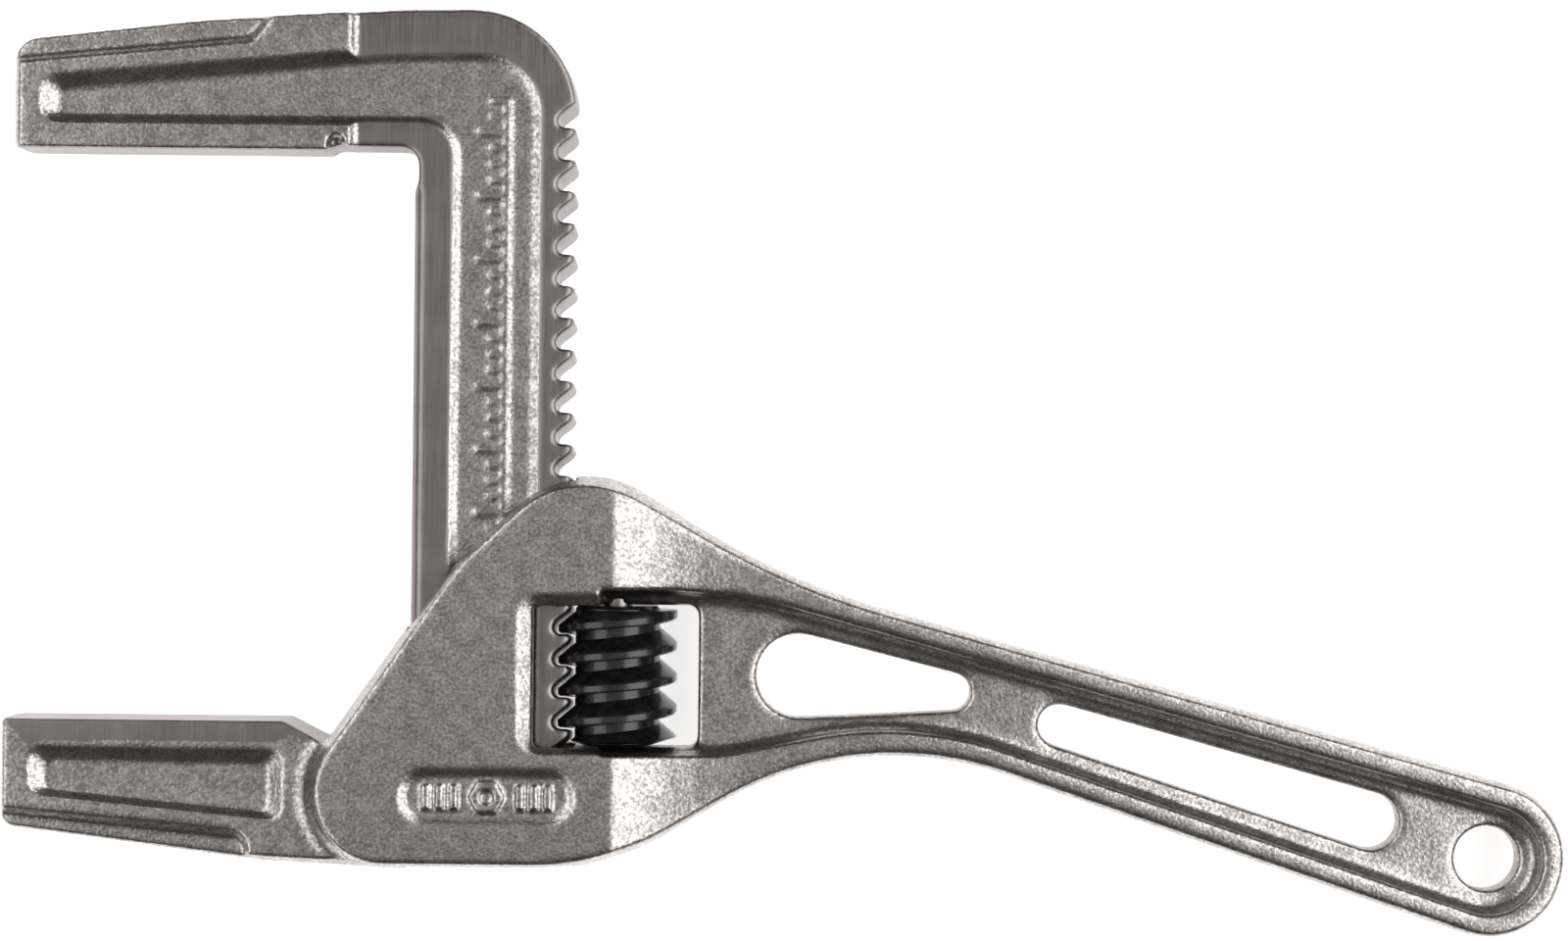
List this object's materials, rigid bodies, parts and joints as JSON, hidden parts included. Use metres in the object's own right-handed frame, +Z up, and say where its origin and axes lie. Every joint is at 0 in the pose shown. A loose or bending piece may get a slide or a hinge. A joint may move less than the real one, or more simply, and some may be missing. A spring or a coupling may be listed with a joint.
{
  "type": "adjustable pipe wrench",
  "caption": "Wide-mouth adjustable wrench with a fixed jaw forged to the handle and a toothed sliding jaw moved by a worm screw.",
  "frame": {"origin": "on the supporting surface, under the middle of the wrench lying flat", "axes": "+X towards the handle's end, +Y from the fixed jaw towards the sliding jaw, +Z up out of the upper broad side"},
  "size_m": [0.2477, 0.1452, 0.02],
  "materials": {
    "body_steel": "satin plated forging with a fine shot-blasted grain",
    "jaw_steel": "satin plated forging, smoother on its milled sides",
    "worm_black": "glossy black oxide",
    "pin_steel": "turned steel",
    "spring_steel": "drawn spring wire"
  },
  "bodies": {
    "wrench": {"handle_body": "body_steel", "worm_pin": "pin_steel", "worm_spring": "spring_steel"},
    "sliding_jaw": {"movable_jaw": "jaw_steel"},
    "adjusting_worm": {"worm": "worm_black"}
  },
  "joints": [
    {"name": "worm_spin", "type": "hinge", "parent": "wrench", "child": "adjusting_worm", "pos_m": [-0.02665, -0.03261, 0.01], "axis": [0, -1, 0], "range_deg": [-5400, 180]},
    {"name": "jaw_slide", "type": "slide", "parent": "wrench", "child": "sliding_jaw", "axis": [0, 1, 0], "range_m": [-0.074, 0.002]}
  ],
  "couplings": [
    {"joint": "worm_spin", "follows": "jaw_slide", "rad_per_m": 1256.6}
  ]
}
